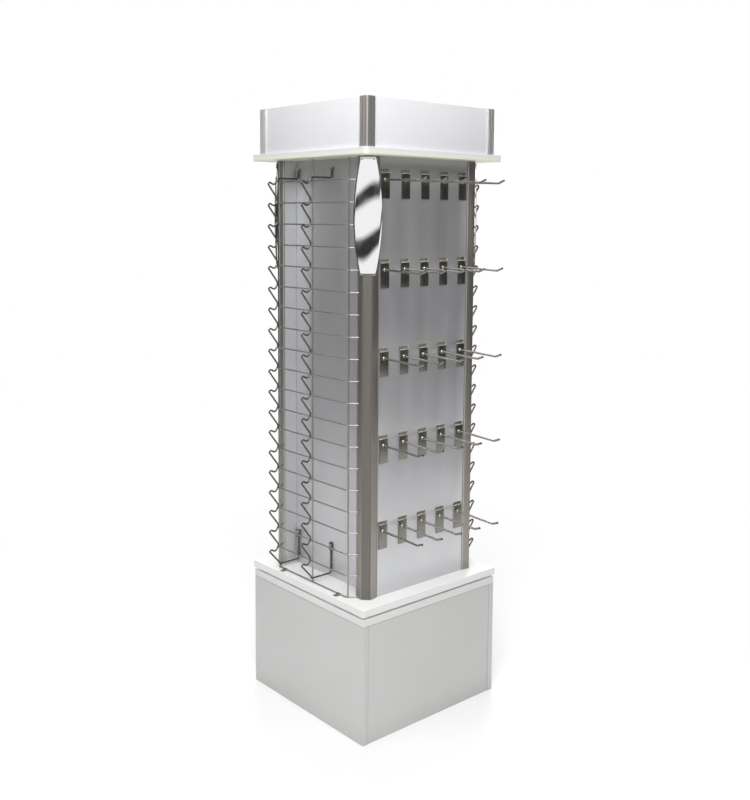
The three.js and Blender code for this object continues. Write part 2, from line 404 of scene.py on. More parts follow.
def satin_lacquer(name, base):
    material, tree, shader = start_material(name, base, roughness=0.42)
    colour = tones(tree, object_noise(tree, 5, detail=2), base, 0.975, 1.015)
    scuffs = object_noise(tree, 40, (1, 1, 2.5), detail=6, rough=0.7)
    uneven_height = maths(tree, "MULTIPLY_ADD", scuffs, SCUFF_HEIGHT, object_height(tree))
    worn = ramp(tree, uneven_height, [(0.02, (0.93, 0.925, 0.91)), (0.085, (1, 1, 1))])
    gloss = object_noise(tree, 14, detail=4)
    coat(tree, shader, multiply(tree, colour, worn), gloss, 0.36, 0.48)
    relief(tree, shader, object_noise(tree, 420, detail=2), 0.06 * mm, 0.35)
    return material


lacquer = satin_lacquer("satin_lacquer", (0.545, 0.545, 0.54))
pale_lacquer = satin_lacquer("pale_satin_lacquer", (0.70, 0.70, 0.69))
# A dark copy of the lacquer, painted shade for the fine gaps between the boards.
painted_joint_shade_lacquer = satin_lacquer("painted_joint_shade_lacquer", (0.22, 0.22, 0.215))
print("made", lacquer.name, pale_lacquer.name, painted_joint_shade_lacquer.name)

# %% [markdown]
# Slab and canopy are boards faced with a white gloss laminate. The laminate is smoother than
# the lacquer and shows a very fine pebble. The slab's edges have a greyer banding of their own.
# The canopy's edge is banded in two strips: the board's own white above, and a warmer ivory
# band below. One material does both, because the split only depends on the height.

# %% White laminate, with the canopy's ivory lower band
def white_laminate(name, base=(0.93, 0.93, 0.925), ivory_below=None):
    material, tree, shader = start_material(name, base, roughness=0.3)
    colour = tones(tree, object_noise(tree, 7, detail=2), base, 0.992, 1.0)
    if ivory_below:
        band = to_range(tree, object_height(tree), 0, 1, ivory_below, ivory_below + 0.5 * mm)
        tint = ramp(tree, band, [(0.0, (1.0, 0.995, 0.86)), (1.0, (0.90, 0.90, 0.93))])
        colour = multiply(tree, colour, tint)
    coat(tree, shader, colour, object_noise(tree, 20, detail=4), 0.30, 0.36)
    relief(tree, shader, object_noise(tree, 900, detail=2), 0.03 * mm, 0.3)
    clear_coat(shader, 0.3, 0.12)
    return material


IVORY_BAND = 9.5 * mm
slab_laminate = white_laminate("slab_laminate")
slab_edging = white_laminate("slab_edging", base=(0.76, 0.76, 0.75))
canopy_laminate = white_laminate("canopy_laminate", ivory_below=canopy_low.z + IVORY_BAND)
print("made", slab_laminate.name, slab_edging.name, canopy_laminate.name)

# %% [markdown]
# The tower panels are faced in pearl silver: a metallic paint of tiny flakes under a clear
# coat. Seen from above it mirrors the pale floor softly, and seen level it goes dark, which is
# why each panel runs from light at its foot to dark under the canopy. A high metallic value
# with a middling roughness gives that by itself.

# %% Pearl silver of the tower panels
def pearl_silver():
    base = (0.70, 0.705, 0.72)
    material, tree, shader = start_material("pearl_silver", base, 0.82, 0.45)
    flakes = object_noise(tree, 2600, detail=1, rough=0.6)
    sparkle = tones(tree, flakes, base, 0.86, 1.12)
    cloud = ramp(tree, object_noise(tree, 4, detail=3),
                 [(0.25, (0.965, 0.965, 0.975)), (0.75, (1, 1, 0.995))])
    gloss = object_noise(tree, 9, (1, 1, 0.5), detail=5)
    coat(tree, shader, multiply(tree, sparkle, cloud), gloss, 0.42, 0.50)
    relief(tree, shader, flakes, 0.02 * mm, 0.25)
    clear_coat(shader, 0.25, 0.18)
    return material


pearl = pearl_silver()
print("made", pearl.name)

# %% [markdown]
# Where the panel is cut, the raw board shows. It is a fine brown-grey fibre board, so its
# colour and relief come from one dense noise.

# %% Raw board in the slots
def raw_board():
    base = (0.50, 0.47, 0.40)
    material, tree, shader = start_material("raw_board_core", base, roughness=0.75)
    fibres = object_noise(tree, 700, (1, 1, 0.4), detail=5, rough=0.7)
    colour = tones(tree, fibres, base, 0.8, 1.12)
    coat(tree, shader, colour, fibres, 0.7, 0.85)
    relief(tree, shader, fibres, 0.15 * mm, 0.5)
    return material


board_core = raw_board()
print("made", board_core.name)

# %% [markdown]
# The corner sections are extruded aluminium, brushed along their length and anodised a warm
# grey. Brushing is a noise squeezed to hair-thin lines: very fine across, very long along Z.
# The same lines drive colour, roughness and relief, so light and dark hairs agree. One function
# makes three shades: warm for the legs of the columns, dark for the flat across their corner,
# and pale for the header posts. The dark one is painted shade: the flat is the same metal as
# the legs, darkened for the dark room that it reflects.

# %% Brushed and ribbed aluminium
def brushed_aluminium(name, base, roughness):
    material, tree, shader = start_material(name, base, 1.0, roughness)
    hairs = object_noise(tree, 1, (1900, 1900, 7), detail=3, rough=0.6)
    bands = object_noise(tree, 1, (190, 190, 1.2), detail=2)
    fine = tones(tree, hairs, base, 0.82, 1.12)
    wide = ramp(tree, bands, [(0.3, (0.94, 0.94, 0.94)), (0.7, (1, 1, 1))])
    coat(tree, shader, multiply(tree, fine, wide), hairs, roughness - 0.06, roughness + 0.08)
    relief(tree, shader, hairs, 0.05 * mm, 0.5)
    return material


warm_aluminium = brushed_aluminium("warm_brushed_aluminium", (0.44, 0.414, 0.378), 0.45)
# A darker copy of the same metal, painted shade for the dark room that the column flats reflect.
painted_shade_aluminium = brushed_aluminium("painted_shade_brushed_aluminium", (0.225, 0.216, 0.20), 0.5)
pale_aluminium = brushed_aluminium("pale_ribbed_aluminium", (0.86, 0.85, 0.82), 0.44)
print("made", warm_aluminium.name, painted_shade_aluminium.name, pale_aluminium.name)

# %% [markdown]
# The corner mirrors are thin stainless plates, polished like glass. Polishing leaves a very
# slight haze in soft patches, which is all that the noise does here.

# %% Mirror-polished steel
def mirror_polish():
    base = (0.93, 0.93, 0.935)
    material, tree, shader = start_material("mirror_polish", base, 1.0, 0.04)
    haze = object_noise(tree, 22, detail=5, rough=0.6)
    tree.links.new(to_range(tree, haze, 0.02, 0.07, 0.35, 0.75), shader.inputs["Roughness"])
    colour = tones(tree, haze, base, 0.985, 1.0)
    tree.links.new(colour, shader.inputs["Base Color"])
    relief(tree, shader, object_noise(tree, 9, detail=1), 0.1 * mm, 0.05)
    return material


mirror_steel = mirror_polish()
print("made", mirror_steel.name)

# %% [markdown]
# The header panels are opal acrylic, with a trace of violet in the white. Acrylic is glossy,
# lets light sink in a little, and sheet of this size is never quite flat, so a broad, shallow
# relief bends its reflections.

# %% Opal acrylic of the header
def opal_acrylic():
    base = (0.90, 0.90, 0.925)
    material, tree, shader = start_material("opal_acrylic", base, roughness=0.22)
    colour = tones(tree, object_noise(tree, 6, detail=2), base, 0.985, 1.01)
    coat(tree, shader, colour, object_noise(tree, 30, detail=4), 0.18, 0.27)
    relief(tree, shader, object_noise(tree, 5, detail=1), 1.2 * mm, 0.1)
    clear_coat(shader, 0.4, 0.08)
    return material


acrylic = opal_acrylic()
print("made", acrylic.name)

# %% [markdown]
# The racks are chromed steel wire. The plating is a little cloudy. The grid has the brighter
# chrome, and the thicker tooth wires a much darker copy of it, which is painted shade for the
# dark room that they reflect. The hook plates are strip with faint rolling lines. Their faces
# get a duller, darker copy of the plating as painted shade, and the faces of the fold that look
# upwards a bright one as painted highlight. The pegs and the saddle clips are a shade lighter
# than the plates, the panel clips are nearly black, and the screws are bright. Two functions
# make all seven finishes.

# %% Chromed wire and plated hook plates
def chromed_wire(name, base, roughness):
    material, tree, shader = start_material(name, base, 1.0, roughness)
    cloud = object_noise(tree, 180, detail=4, rough=0.6)
    colour = tones(tree, cloud, base, 0.8, 1.1)
    coat(tree, shader, colour, cloud, roughness - 0.06, roughness + 0.08)
    relief(tree, shader, object_noise(tree, 1400, detail=2), 0.03 * mm, 0.4)
    return material


def plated_steel(name, base, roughness):
    material, tree, shader = start_material(name, base, 1.0, roughness)
    lines = object_noise(tree, 1, (1500, 1500, 40), detail=3)
    patches = object_noise(tree, 90, detail=5, rough=0.65)
    fine = tones(tree, lines, base, 0.84, 1.12)
    rubbed = ramp(tree, patches, [(0.35, (0.86, 0.85, 0.83)), (0.7, (1, 1, 1))])
    coat(tree, shader, multiply(tree, fine, rubbed), patches, roughness - 0.07, roughness + 0.1)
    relief(tree, shader, lines, 0.03 * mm, 0.4)
    return material


chrome = chromed_wire("chromed_wire", (0.44, 0.43, 0.415), 0.38)
# A darker copy of the chrome, painted shade for the dark room that the tooth wires reflect.
painted_shade_chrome = chromed_wire("painted_shade_chromed_wire", (0.15, 0.147, 0.142), 0.24)
# Hook plates: a darker copy of the plating as painted shade, and a bright one as painted
# highlight on the fold.
painted_shade_plate_steel = plated_steel("painted_shade_hook_steel", (0.29, 0.278, 0.252), 0.34)
painted_highlight_steel = plated_steel("painted_highlight_fold_steel", (0.95, 0.94, 0.91), 0.45)
peg_steel = plated_steel("peg_steel", (0.42, 0.405, 0.375), 0.28)
clip_steel = plated_steel("dark_clip_steel", (0.16, 0.16, 0.16), 0.42)
screw_steel = plated_steel("bright_screw_steel", (0.72, 0.71, 0.69), 0.24)
print("materials so far:", len(bpy.data.materials))

# %% [markdown]
# The bearing ring between cabinet and slab is zinc plated. Zinc sets in flat crystals, the
# spangle, so a cell pattern varies its colour from crystal to crystal.

# %% Zinc spangle of the bearing
def zinc_spangle():
    base = (0.46, 0.48, 0.49)
    material, tree, shader = start_material("zinc_spangle", base, 0.9, 0.42)
    cells = add_node(tree, "TexVoronoi", {"Vector": object_place(tree)}, Scale=130)
    tone = add_node(tree, "RGBToBW", {"Color": cells.outputs["Color"]}).outputs["Val"]
    colour = ramp(tree, tone, [(0.2, shade(base, 0.8)), (0.8, shade(base, 1.15))])
    coat(tree, shader, colour, tone, 0.34, 0.5)
    relief(tree, shader, cells.outputs["Distance"], 0.05 * mm, 0.3)
    return material


zinc = zinc_spangle()
bearing_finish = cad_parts["turntable_bearing"].data.materials
bearing_finish.clear()
bearing_finish.append(zinc)
print("made", zinc.name)

# %% [markdown]
# ## The cabinet
#
# Six boards: a bottom, four sides butted at the corners, and a top that covers them. Their
# edges are rounded by sandpaper before spraying, by about a millimetre, so the joints between
# boards show as fine soft lines. Each board is a merged copy of its node with eased edges. The
# eased faces along a joint get a dark lacquer as painted shade, standing in for the shadow in
# the gap: those that run upright where two side boards meet, away from the cabinet's own
# corners, and those under the top board.

# %% Cabinet boards
EASED_LACQUER = 1.1 * mm
CORNER_ZONE = 5 * mm
for node, paint in (("cabinet_bottom_board", lacquer), ("cabinet_top_board", pale_lacquer)):
    board = ease_edges(merged_copy(node), EASED_LACQUER)
    finish_piece(f"{node}_lacquered", board, [paint], [node], body="cabinet")
cabinet_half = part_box("cabinet_panel_right")[1].x


def along_a_joint(face):
    nx, ny, nz = (abs(value) for value in face.normal)
    middle = face.calc_center_median()
    off_corner = min(abs(middle.x), abs(middle.y)) < cabinet_half - CORNER_ZONE
    return (min(nx, ny) > 0.3 and nz < 0.3 and off_corner) or 0.3 < face.normal.z < 0.95


for side in SIDES:
    board = ease_edges(merged_copy(f"cabinet_panel_{side}"), EASED_LACQUER)
    # Faces along a joint get the dark lacquer as painted shade.
    give_finish(board, along_a_joint)
    finish_piece(f"cabinet_panel_{side}_lacquered", board, [lacquer, painted_joint_shade_lacquer],
                 [f"cabinet_panel_{side}"], body="cabinet")
print("cabinet boards:", 2 + len(SIDES))

# %% [markdown]
# ## Slab and canopy
#
# Both are laminated boards. The slab has square corners and the canopy round ones, and both
# have the small radius of an edge band that has been trimmed flush. The slab's upright faces
# get the edging, and the rest of it the laminate.

# %% Slab and canopy
slab = ease_edges(merged_copy("plinth_slab"), 0.9 * mm, sharper_than=50)
give_finish(slab, lambda face: abs(face.normal.z) < 0.5)
finish_piece("plinth_slab_laminated", slab, [slab_laminate, slab_edging],
             ["plinth_slab"])
canopy = ease_edges(merged_copy("canopy_board"), 1.2 * mm, sharper_than=50)
finish_piece("canopy_board_laminated", canopy, [canopy_laminate],
             ["canopy_board"])
print("slab", round((slab_high.x - slab_low.x) / mm), "mm wide")

# %% [markdown]
# ## Corner columns
#
# The column is an aluminium extrusion. In plan it has a flat across the corner, a fine groove
# on each side of that flat, and a slightly crowned leg that ends against the panel with a small
# bead. Only half of the outline is drawn, because it is symmetric about the diagonal. Each
# point is two distances in millimetres: how far it lies behind the column's outermost face,
# and how far it is along that face from the column's inner side. Both come from the frame.

# %% Column outline
def symmetric_about_diagonal(half):
    return half + [(y, x) for x, y in reversed(half)]


column_low, column_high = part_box("corner_column_back_right")
outer, inner = column_high.x, column_low.x
BEAD = [(5.0, 0), (4.2, 1.6), (4.0, 2.6), (4.7, 3.0), (4.6, 4.0)]
CROWNED_LEG = [(3.3, 4.6), (1.6, 10.5), (0.6, 16.0), (0.05, 21.5), (0.05, 26.0), (0.35, 27.0)]
GROOVE_AND_FLAT = [(1.9, 27.2), (1.9, 28.4), (0.9, 28.9)]


def column_outline():
    half = [(outer - behind * mm, inner + along * mm)
            for behind, along in BEAD + CROWNED_LEG + GROOVE_AND_FLAT]
    return symmetric_about_diagonal([(inner, inner + HAIR)] + half)


print("column outline:", len(column_outline()), "points")


# %% [markdown]
# The column is drawn for the corner between +X and +Y, so the counts of quarter turns, which
# start at the corner before it, are lowered by one. Its three surfaces are the warm legs, the
# darker flat, whose dark tone is painted shade for the dark room it reflects, and the silver
# returns that face the panels.

# %% Corner columns
def turn_onto(bm, count):
    bmesh.ops.transform(bm, matrix=quarter_turn(count), verts=bm.verts)
    return bm


across_corner = Vector((1, 1, 0)).normalized()
for corner, count in CORNERS.items():
    column = upright_section(column_outline(), column_low.z, column_high.z)
    ends = [e for e in column.edges if abs(e.verts[0].co.z - e.verts[1].co.z) > 1 * mm
            and e.calc_face_angle(0) > math.radians(25)]
    round_off(column, ends, 0.25 * mm, segments=2)
    # The flat across the corner gets the painted shade.
    give_finish(column, lambda face: face.normal.dot(across_corner) > 0.985)
    give_finish(column, lambda face: min(face.normal.x, face.normal.y) < -0.9, index=2)
    finish_piece(f"corner_column_{corner}_brushed", turn_onto(column, count - 1),
                 [warm_aluminium, painted_shade_aluminium, pearl],
                 [f"corner_column_{corner}"], crease=24)
print("columns", round((column_high.z - column_low.z) / mm, 1), "mm tall")

# %% [markdown]
# ## Corner mirrors
#
# Each mirror is a barrel-shaped plate on the flat of its column, held by two small screws near
# its top corners. A thin plate held like this bows out by two or three millimetres, and that
# bow is what draws its reflections into slanting bands. The plate is cut into a fine grid, bowed
# as a shallow dome, and given a rounded rim.

# %% Bowed mirror plate
mirror_low, mirror_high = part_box("corner_mirror_back_right")
mirror_height = mirror_high.z - mirror_low.z
MIRROR_END, MIRROR_MIDDLE = 40 * mm, 74 * mm
MIRROR_THICK = 1.6 * mm
BOW_UP, BOW_ACROSS = 2.4 * mm, 0.9 * mm
mirror_seat = (mirror_low.x + mirror_high.x) / math.sqrt(2) - MIRROR_THICK / 2


def half_width(t):
    return MIRROR_END / 2 + (MIRROR_MIDDLE - MIRROR_END) / 2 * math.sin(math.pi * t) ** 0.9


def mirror_plate():
    bm = bmesh.new()
    bmesh.ops.create_grid(bm, x_segments=14, y_segments=48, size=0.5)
    for v in bm.verts:
        across, t = v.co.x * 2, v.co.y + 0.5
        dome = BOW_UP * (1 - (2 * t - 1) ** 2) + BOW_ACROSS * (1 - across ** 2)
        v.co = Vector((across * half_width(t), -dome, mirror_low.z + t * mirror_height))
    return ease_edges(thicken(bm, (0, MIRROR_THICK, 0)), 0.35 * mm, segments=2, sharper_than=60)


# %% Corner mirrors and their screws
MIRROR_SCREW_ASIDE, MIRROR_SCREW_DROP = 15 * mm, 6 * mm
facing_out = Matrix.Rotation(math.pi / 2, 4, "X")
for corner, count in CORNERS.items():
    plate = mirror_plate()
    on_flat = quarter_turn(count + 0.5) @ at(0, -(mirror_seat + MIRROR_THICK), 0)
    bmesh.ops.transform(plate, matrix=on_flat, verts=plate.verts)
    finish_piece(f"corner_mirror_{corner}_polished", plate, [mirror_steel],
                 [f"corner_mirror_{corner}"], crease=40)
    screws = bmesh.new()
    for x in (-MIRROR_SCREW_ASIDE, MIRROR_SCREW_ASIDE):
        spot = at(x, -0.6 * mm, mirror_high.z - MIRROR_SCREW_DROP)
        add_to(screws, cross_head_screw(2.4 * mm, 1.1 * mm), on_flat @ spot @ facing_out)
    finish_piece(f"mirror_screws_{corner}", screws, [screw_steel])
print("mirrors", round(mirror_height / mm), "mm tall, seat", round(mirror_seat / mm, 1))

# %% [markdown]
# ## Header box
#
# Four ribbed aluminium posts hold four opal panels in their grooves. The post is an extrusion
# with a round corner, and its ribs are shallow flutes that run its whole height. The bottoms of
# the flutes and the round corner have the darker, warm aluminium as painted shade, so that the
# ribs can be read from a few steps away.

# %% Ribbed header posts
post_low, post_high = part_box("header_post_back_right")
POST_CORNER = 10 * mm
FLUTE_DEEP, FLUTE_WIDE, FLUTE_SLOPE = 0.8 * mm, 2.6 * mm, 0.5 * mm
FLUTES = (2.2 * mm, 8.7 * mm, 15.2 * mm)


def post_outline():
    edge, root = post_high.x, post_low.x
    half = [(root, root + HAIR), (edge - 0.4 * mm, root), (edge, root + 0.6 * mm)]
    for start in (root + flute for flute in FLUTES):
        end = start + FLUTE_WIDE
        half += [(edge, start), (edge - FLUTE_DEEP, start + FLUTE_SLOPE),
                 (edge - FLUTE_DEEP, end - FLUTE_SLOPE), (edge, end)]
    centre = edge - POST_CORNER
    for i in range(5):
        turn = math.radians(9 * i + 4)
        half.append((centre + POST_CORNER * math.cos(turn),
                     centre + POST_CORNER * math.sin(turn)))
    return symmetric_about_diagonal(half)


def painted_shade_on_flutes_and_corner(face):
    middle = face.calc_center_median()
    in_flute = abs(max(middle.x, middle.y) - post_high.x + FLUTE_DEEP) < 0.1 * mm
    return in_flute or min(face.normal.x, face.normal.y) > 0.15


for corner, count in CORNERS.items():
    post = upright_section(post_outline(), post_low.z, post_high.z)
    # Flute bottoms and the round corner get the darker metal as painted shade.
    give_finish(post, painted_shade_on_flutes_and_corner)
    finish_piece(f"header_post_{corner}_ribbed", turn_onto(post, count - 1),
                 [pale_aluminium, warm_aluminium],
                 [f"header_post_{corner}"], crease=24)
for side in SIDES:
    panel = ease_edges(merged_copy(f"header_panel_{side}"), 0.5 * mm)
    finish_piece(f"header_panel_{side}_opal", panel, [acrylic],
                 [f"header_panel_{side}"])
print("header box", round((post_high.z - post_low.z) / mm), "mm tall")

# %% [markdown]
# ## Tower panels
#
# Three panels are plain boards. The fourth has 25 slots for hooks. It is made as a sheet cut
# by straight lines at every slot edge, the slot cells are deleted, and the rest is thickened.
# That keeps every face a clean rectangle, which bevels better than a board with cut-outs. The
# walls of the slots show the raw board.

# %% Plain and slotted panels
for node in ("rack_panel_front", "rack_panel_back", "plain_panel"):
    panel = ease_edges(merged_copy(node), 0.5 * mm)
    finish_piece(f"{node}_pearl", panel, [pearl], [node])

panel_low, panel_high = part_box("hook_panel")
hook_rows = [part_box(f"hook_{row}_3")[1].z for row in range(1, 6)]
hook_columns = [(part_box(f"hook_1_{c}")[0].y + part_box(f"hook_1_{c}")[1].y) / 2
                for c in range(1, 6)]
SLOT_ABOVE_HOOK = 8 * mm
SLOT_WIDE, SLOT_TALL = 34 * mm, 10.5 * mm
slot_tops = [z + SLOT_ABOVE_HOOK for z in hook_rows]
print("hook rows", [round(z / mm) for z in slot_tops])


def in_slot(place, margin=0.0):
    return (any(abs(place.y - c) < SLOT_WIDE / 2 + margin for c in hook_columns)
            and any(top - SLOT_TALL - margin < place.z < top + margin for top in slot_tops))


def cut_across(bm, places, normal):
    for place in places:
        bmesh.ops.bisect_plane(bm, geom=bm.verts[:] + bm.edges[:] + bm.faces[:], dist=1e-7,
                               plane_co=Vector(normal) * place, plane_no=normal)


def slotted_panel():
    bm = bmesh.new()
    corners = [(panel_high.x, y, z) for y, z in (
        (panel_low.y, panel_low.z), (panel_high.y, panel_low.z),
        (panel_high.y, panel_high.z), (panel_low.y, panel_high.z))]
    bm.faces.new([bm.verts.new(c) for c in corners])
    cut_across(bm, [c + s * SLOT_WIDE / 2 for c in hook_columns for s in (-1, 1)], (0, 1, 0))
    cut_across(bm, [top - d for top in slot_tops for d in (0, SLOT_TALL)], (0, 0, 1))
    cells = [face for face in bm.faces if in_slot(face.calc_center_median())]
    bmesh.ops.delete(bm, geom=cells, context="FACES")
    return thicken(bm, (panel_low.x - panel_high.x, 0, 0))


slotted = ease_edges(slotted_panel(), 0.4 * mm, segments=2)
give_finish(slotted, lambda face: abs(face.normal.x) < 0.3
            and in_slot(face.calc_center_median(), 0.1 * mm))
finish_piece("hook_panel_pearl", slotted, [pearl, board_core], ["hook_panel"])

# %% [markdown]
# Behind each row of slots a rail of raw board is glued to the back of the panel. The hook
# tongues bear on it, and it is what is seen through the slots.

# %% Backing rails behind the slots
RAIL_DEEP, RAIL_TALL = 6 * mm, 40 * mm
rails = bmesh.new()
for top in slot_tops:
    rail = block(RAIL_DEEP, panel_high.y - panel_low.y - 4 * mm, RAIL_TALL)
    place = at(panel_low.x - 3.3 * mm, 0, top - SLOT_TALL / 2)
    add_to(rails, ease_edges(rail, 0.6 * mm, segments=2), place)
finish_piece("hook_backing_rails", rails, [board_core])
print("backing rails:", len(slot_tops))

# %% [markdown]
# ## Wire racks
#
# A rack is twenty horizontal wires welded to three uprights. Each horizontal wire turns back
# at both ends and meets the column. Where wires cross, the weld leaves a small flat bead. In
# front of the grid run two bent wires: each starts at a clip on the panel, comes forward at the
# bottom, climbs tooth by tooth, and runs back to the panel at the top. The bridge of a pair of
# glasses sits behind a tooth.

# %% Rack dimensions
WIRE, UPRIGHT_WIRE = 4 * mm, 5 * mm
ROWS = 20
rack_bottom = front_rack_low.z + WIRE / 2
PITCH = 58 * mm
RACK_HALF = 150 * mm
UPRIGHTS = (-154 * mm, 0, 154 * mm)
zigzag_places = [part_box(f"rack_zigzag_front_{i}")[1].x - UPRIGHT_WIRE / 2 for i in (1, 2)]
rack_end = front_rack_high.x - 1.2 * mm
rack_plane = front_rack_low.y + WIRE / 2
rows = [rack_bottom + PITCH * i for i in range(ROWS)]
print("rack plane", round(rack_plane / mm, 1), "tooth wires at",
      [round(x / mm, 1) for x in zigzag_places])


# %% Grid: rows, uprights and weld beads
def rack_grid():
    wall = front_rack_high.y
    paths = [bent_path([(-rack_end, wall, z), (-RACK_HALF, rack_plane, z),
                        (RACK_HALF, rack_plane, z), (rack_end, wall, z)], 9 * mm)
             for z in rows]
    bm = round_wires(paths, WIRE)
    behind = rack_plane + (WIRE + UPRIGHT_WIRE) / 2 - 0.6 * mm
    ends = (rows[0] - WIRE / 2, front_rack_high.z)
    uprights = [[(x, behind, z) for z in ends] for x in UPRIGHTS]
    return add_to(bm, round_wires(uprights, UPRIGHT_WIRE))


def weld_beads():
    bead = bmesh.new()
    bmesh.ops.create_icosphere(bead, subdivisions=1, radius=1)
    flattened = Matrix.Diagonal((3.1 * mm, 1.5 * mm, 2.3 * mm, 1))
    crossings = ([(x, rack_plane + WIRE / 2) for x in UPRIGHTS]
                 + [(x, rack_plane - WIRE / 2) for x in zigzag_places])
    bm = bmesh.new()
    for z in rows:
        for x, y in crossings:
            add_to(bm, bead, at(x, y, z) @ flattened, keep=True)
    bead.free()
    return bm


# %% [markdown]
# A tooth wire is one long bend. From the grid it climbs outwards in a straight slant to the
# tip, turns over it in a tight curl, dips into a shallow saddle where the bridge rests, and
# comes back to the grid in a wider curve. The lengths below say how far the corners of a tooth
# stand from the grid, from the tip and from their row.

# %% Tooth wires
zig_low, zig_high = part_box("rack_zigzag_front_1")
CLIP_HEIGHT = 455 * mm
FOOT_RISE, FOOT_LEG = 10 * mm, 12 * mm
TIP_DROP, CURL_BACK, CURL_DROP = 6 * mm, 6 * mm, 1 * mm
SADDLE_OUT, SADDLE_DROP, ROOT_RISE = 13 * mm, 9 * mm, 8 * mm


def tooth_wire(x):
    back = zig_high.y - UPRIGHT_WIRE / 2
    tip = zig_low.y + UPRIGHT_WIRE / 2
    grid = rack_plane - (WIRE + UPRIGHT_WIRE) / 2 - 0.3 * mm
    first, last = rows[0] + FOOT_RISE, rows[-1] + FOOT_RISE
    foot = bent_path([(x, back, CLIP_HEIGHT), (x, back, first), (x, grid, first),
                      (x, grid, first + FOOT_LEG)], 7 * mm)
    corners = [(x, grid, first + FOOT_LEG)]
    for z in rows[1:]:
        corners += [(x, tip, z - TIP_DROP), (x, tip + CURL_BACK, z - CURL_DROP),
                    (x, grid - SADDLE_OUT, z - SADDLE_DROP), (x, grid, z + ROOT_RISE)]
    teeth = bent_path(corners, 11 * mm)
    head = bent_path([corners[-1], (x, grid, last), (x, back, last), (x, back, zig_high.z)],
                     7 * mm)
    return foot[:-1] + teeth[1:-1] + head


print("teeth on each wire:", len(rows) - 1)


# %% Place both racks
rack_pieces = 0
for side, turn in RACK_SIDES.items():
    grid = turn_onto(add_to(rack_grid(), weld_beads()), turn)
    finish_piece(f"rack_grid_{side}_wires", grid, [chrome],
                 [f"rack_grid_{side}"], crease=50)
    for i, x in enumerate(zigzag_places, 1):
        teeth = turn_onto(round_wires([tooth_wire(x)], UPRIGHT_WIRE, sides=4), turn)
        # Tooth wires get the painted shade chrome.
        finish_piece(f"rack_teeth_{side}_{i}", teeth, [painted_shade_chrome],
                     [f"rack_zigzag_{side}_{i}"], crease=60)
        rack_pieces += 1
print("racks: 2 grids and", rack_pieces, "tooth wires")

# %% [markdown]
# Each tooth wire ends under a small pressed clip at the foot of the panel, with its screw, and
# a lone screw holds its other end at the top. The lowest row of the rack is held down to the
# slab by two saddle clips, pressed from strip: a flat foot with a screw, and a hump over the
# wire. Clips and saddles are one piece, so the height of a face tells which metal it has.

# %% Clips on the panel and saddles on the slab
rack_panel_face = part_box("rack_panel_front")[0].y
CLIP_SCREW_RISE, TOP_SCREW_DROP = 5 * mm, 3 * mm
SADDLE_ASIDE, SADDLE_WIDE, SADDLE_SCREW_OUT = 121 * mm, 14 * mm, 10 * mm
above_saddles = rows[0] + 12 * mm


def panel_clip():
    bm = block(15 * mm, 5.6 * mm, 25 * mm)
    front = [v for v in bm.verts if v.co.y < 0]
    bmesh.ops.scale(bm, vec=(0.78, 1, 0.86), verts=front)
    return ease_edges(bm, 1.2 * mm, sharper_than=30)


def saddle_clip():
    profile = [(-16, 0), (-15.6, 1.1), (-4.2, 1.2), (-3.2, 3.4), (-1.6, 5.0), (0, 5.5),
               (1.6, 5.0), (3.2, 3.4), (4.0, 0.8), (6, 0.8), (6, 0)]
    ring = [(-SADDLE_WIDE / 2, y * mm, z * mm) for y, z in profile]
    strip = extruded_section(ring, (SADDLE_WIDE, 0, 0))
    return ease_edges(strip, 0.3 * mm, segments=2, sharper_than=50)


for side, turn in RACK_SIDES.items():
    clips, screws = bmesh.new(), bmesh.new()
    for x in zigzag_places:
        add_to(clips, panel_clip(), at(x, rack_panel_face - 2.8 * mm, CLIP_HEIGHT))
        spot = at(x, rack_panel_face - 5.4 * mm, CLIP_HEIGHT + CLIP_SCREW_RISE)
        add_to(screws, cross_head_screw(4 * mm, 2 * mm), spot @ facing_out)
        spot = at(x, rack_panel_face - 4.6 * mm, zig_high.z - TOP_SCREW_DROP)
        add_to(screws, cross_head_screw(4.6 * mm, 2.2 * mm), spot @ facing_out)
    for x in (-SADDLE_ASIDE, SADDLE_ASIDE):
        add_to(clips, saddle_clip(), at(x, rack_plane, slab_high.z))
        spot = at(x, rack_plane - SADDLE_SCREW_OUT, slab_high.z + 1.1 * mm)
        add_to(screws, cross_head_screw(3 * mm, 1.6 * mm), spot)
    give_finish(clips, lambda face: face.calc_center_median().z < above_saddles)
    for bm, name, metals in ((clips, "rack_clips", [clip_steel, peg_steel]),
                             (screws, "rack_screws", [screw_steel])):
        finish_piece(f"{name}_{side}", turn_onto(bm, turn), metals)
print("clips and screws on both racks")

# %% [markdown]
# ## Hooks
#
# A hook is a strip of steel folded over at the top, so that its tongue goes into the slot, and
# a round peg welded to its face. The strip is drawn from the side and pushed across by its
# width. Its faces get the darker plating as painted shade, and the faces of it that look upwards
# the bright one as painted highlight, where the fold catches the light from above. The peg sags
# a little towards its end and turns up at the tip, so that goods don't slide off.

# %% Folded plate and bent peg
hook_low, hook_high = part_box("hook_1_3")
PLATE_THICK, PLATE_WIDE, FOLD_RADIUS = 2.2 * mm, 29 * mm, 3.4 * mm
PEG, PEG_BELOW_SLOT, PEG_TURN_UP = 6 * mm, 27 * mm, 18 * mm


